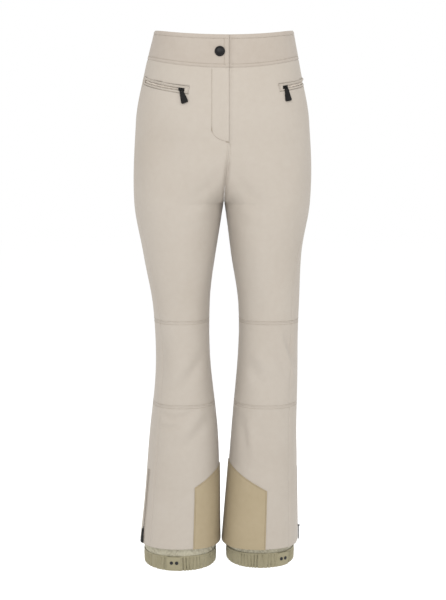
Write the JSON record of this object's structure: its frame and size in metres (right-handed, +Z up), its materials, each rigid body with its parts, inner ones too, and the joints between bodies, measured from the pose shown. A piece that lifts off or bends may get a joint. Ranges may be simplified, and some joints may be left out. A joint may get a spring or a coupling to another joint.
{
  "type": "ski trousers",
  "caption": "Insulated ski trousers with a snap and zip fly, welted zip pockets, shaped knees, scuff guards, hem zips and inner snow gaiters.",
  "frame": {"origin": "centre of the waist opening, level with its sides", "axes": "+Z up towards the waist, -Y towards the front, -X towards the wearer's right"},
  "size_m": [0.3526, 0.2339, 1.067],
  "materials": {
    "waistband_fabric": "matt woven softshell",
    "shell_fabric": "matt woven softshell",
    "guard_fabric": "hard-wearing plain weave",
    "lining_fabric": "brushed pocketing",
    "gaiter_nylon": "crinkled coated nylon",
    "gaiter_elastic": "gathered elastic",
    "zip_coil": "woven tape and nylon coil",
    "slider_metal": "black lacquer",
    "pull_rubber": "matt moulded",
    "black_metal": "glossy black enamel",
    "gunmetal": "dark nickel"
  },
  "bodies": {
    "root": {"waistband_right_front": "waistband_fabric", "waistband_left_front": "waistband_fabric", "waistband_back": "waistband_fabric", "waist_snap_stud": "gunmetal", "fly_shield": "shell_fabric", "fly_zip": "zip_coil", "right_front_panel": "shell_fabric", "right_back_panel": "shell_fabric", "right_knee_front": "shell_fabric", "right_knee_back": "shell_fabric", "right_pocket_welt": "shell_fabric", "right_pocket_zip": "zip_coil", "right_pocket_bag": "lining_fabric", "left_front_panel": "shell_fabric", "left_back_panel": "shell_fabric", "left_knee_front": "shell_fabric", "left_knee_back": "shell_fabric", "left_pocket_welt": "shell_fabric", "left_pocket_zip": "zip_coil", "left_pocket_bag": "lining_fabric"},
    "fly_flap": {"waistband_tab": "waistband_fabric", "fly_placket": "shell_fabric", "waist_snap_cap": "black_metal", "waist_snap_socket": "gunmetal"},
    "fly_slider": {"fly_slider": "slider_metal", "fly_pull": "pull_rubber"},
    "right_pocket_slider": {"right_pocket_slider": "slider_metal"},
    "right_pocket_pull": {"right_pocket_pull": "pull_rubber"},
    "right_shin": {"right_shin_front": "shell_fabric", "right_shin_back": "shell_fabric", "right_scuff_guard": "guard_fabric", "right_hem_zip": "zip_coil", "right_gaiter_skirt": "gaiter_nylon", "right_gaiter_cuff": "gaiter_elastic", "right_gaiter_stud_inner": "gunmetal", "right_gaiter_stud_outer": "gunmetal"},
    "right_hem_slider": {"right_hem_slider": "slider_metal"},
    "right_hem_pull": {"right_hem_pull": "pull_rubber"},
    "right_gaiter_tab": {"right_gaiter_tab": "gaiter_elastic", "right_gaiter_cap_inner": "gunmetal", "right_gaiter_cap_outer": "gunmetal"},
    "left_pocket_slider": {"left_pocket_slider": "slider_metal"},
    "left_pocket_pull": {"left_pocket_pull": "pull_rubber"},
    "left_shin": {"left_shin_front": "shell_fabric", "left_shin_back": "shell_fabric", "left_scuff_guard": "guard_fabric", "left_hem_zip": "zip_coil", "left_gaiter_skirt": "gaiter_nylon", "left_gaiter_cuff": "gaiter_elastic", "left_gaiter_stud_inner": "gunmetal", "left_gaiter_stud_outer": "gunmetal"},
    "left_hem_slider": {"left_hem_slider": "slider_metal"},
    "left_hem_pull": {"left_hem_pull": "pull_rubber"},
    "left_gaiter_tab": {"left_gaiter_tab": "gaiter_elastic", "left_gaiter_cap_inner": "gunmetal", "left_gaiter_cap_outer": "gunmetal"}
  },
  "joints": [
    {"name": "fly_flap", "type": "hinge", "parent": "root", "child": "fly_flap", "pos_m": [-0.0235, -0.1082, -0.1015], "axis": [0, -0.0763, -0.9971], "range_deg": [0, 110]},
    {"name": "fly_zip", "type": "slide", "parent": "root", "child": "fly_slider", "axis": [-0.0003, -0.0366, -0.9993], "range_m": [0, 0.106]},
    {"name": "right_knee", "type": "hinge", "parent": "root", "child": "right_shin", "pos_m": [-0.08275, 0, -0.655], "axis": [1, 0, 0], "range_deg": [0, 70], "deforming": ["right_knee_front", "right_knee_back"]},
    {"name": "right_pocket_zip", "type": "hinge", "parent": "root", "child": "right_pocket_slider", "pos_m": [-0.05152, 0.00828, -0.10095], "axis": [-0.0907, 0.167, -0.9818], "range_deg": [0, 47.5]},
    {"name": "right_pocket_pull", "type": "hinge", "parent": "right_pocket_slider", "child": "right_pocket_pull", "pos_m": [-0.08267, -0.10015, -0.11652], "axis": [-0.9197, 0.2172, -0.327], "range_deg": [0, 110]},
    {"name": "right_hem_zip", "type": "slide", "parent": "right_shin", "child": "right_hem_slider", "axis": [0.0926, 0.0157, 0.9956], "range_m": [0, 0.115]},
    {"name": "right_hem_pull", "type": "hinge", "parent": "right_hem_slider", "child": "right_hem_pull", "pos_m": [-0.16429, -0.03841, -0.99641], "axis": [-0.326, 0.9452, 0.0154], "range_deg": [0, 110]},
    {"name": "right_gaiter_tab", "type": "hinge", "parent": "right_shin", "child": "right_gaiter_tab", "pos_m": [-0.0839, -0.0839, -1.052], "axis": [0, 0, 1], "range_deg": [0, 120]},
    {"name": "left_knee", "type": "hinge", "parent": "root", "child": "left_shin", "pos_m": [0.088, 0, -0.655], "axis": [1, 0, 0], "range_deg": [0, 70], "deforming": ["left_knee_front", "left_knee_back"]},
    {"name": "left_pocket_zip", "type": "hinge", "parent": "root", "child": "left_pocket_slider", "pos_m": [0.05767, -0.00397, -0.10427], "axis": [-0.0567, -0.1342, 0.9893], "range_deg": [0, 55.4]},
    {"name": "left_pocket_pull", "type": "hinge", "parent": "left_pocket_slider", "child": "left_pocket_pull", "pos_m": [0.11973, -0.08273, -0.1114], "axis": [-0.8275, -0.544, -0.139], "range_deg": [0, 110]},
    {"name": "left_hem_zip", "type": "slide", "parent": "left_shin", "child": "left_hem_slider", "axis": [-0.0177, 0.0027, 0.9998], "range_m": [0, 0.115]},
    {"name": "left_hem_pull", "type": "hinge", "parent": "left_hem_slider", "child": "left_hem_pull", "pos_m": [0.15243, -0.00665, -0.99647], "axis": [-0.0475, -0.9989, 0.0019], "range_deg": [0, 110]},
    {"name": "left_gaiter_tab", "type": "hinge", "parent": "left_shin", "child": "left_gaiter_tab", "pos_m": [0.1069, -0.0773, -1.052], "axis": [0, 0, -1], "range_deg": [0, 120]}
  ]
}
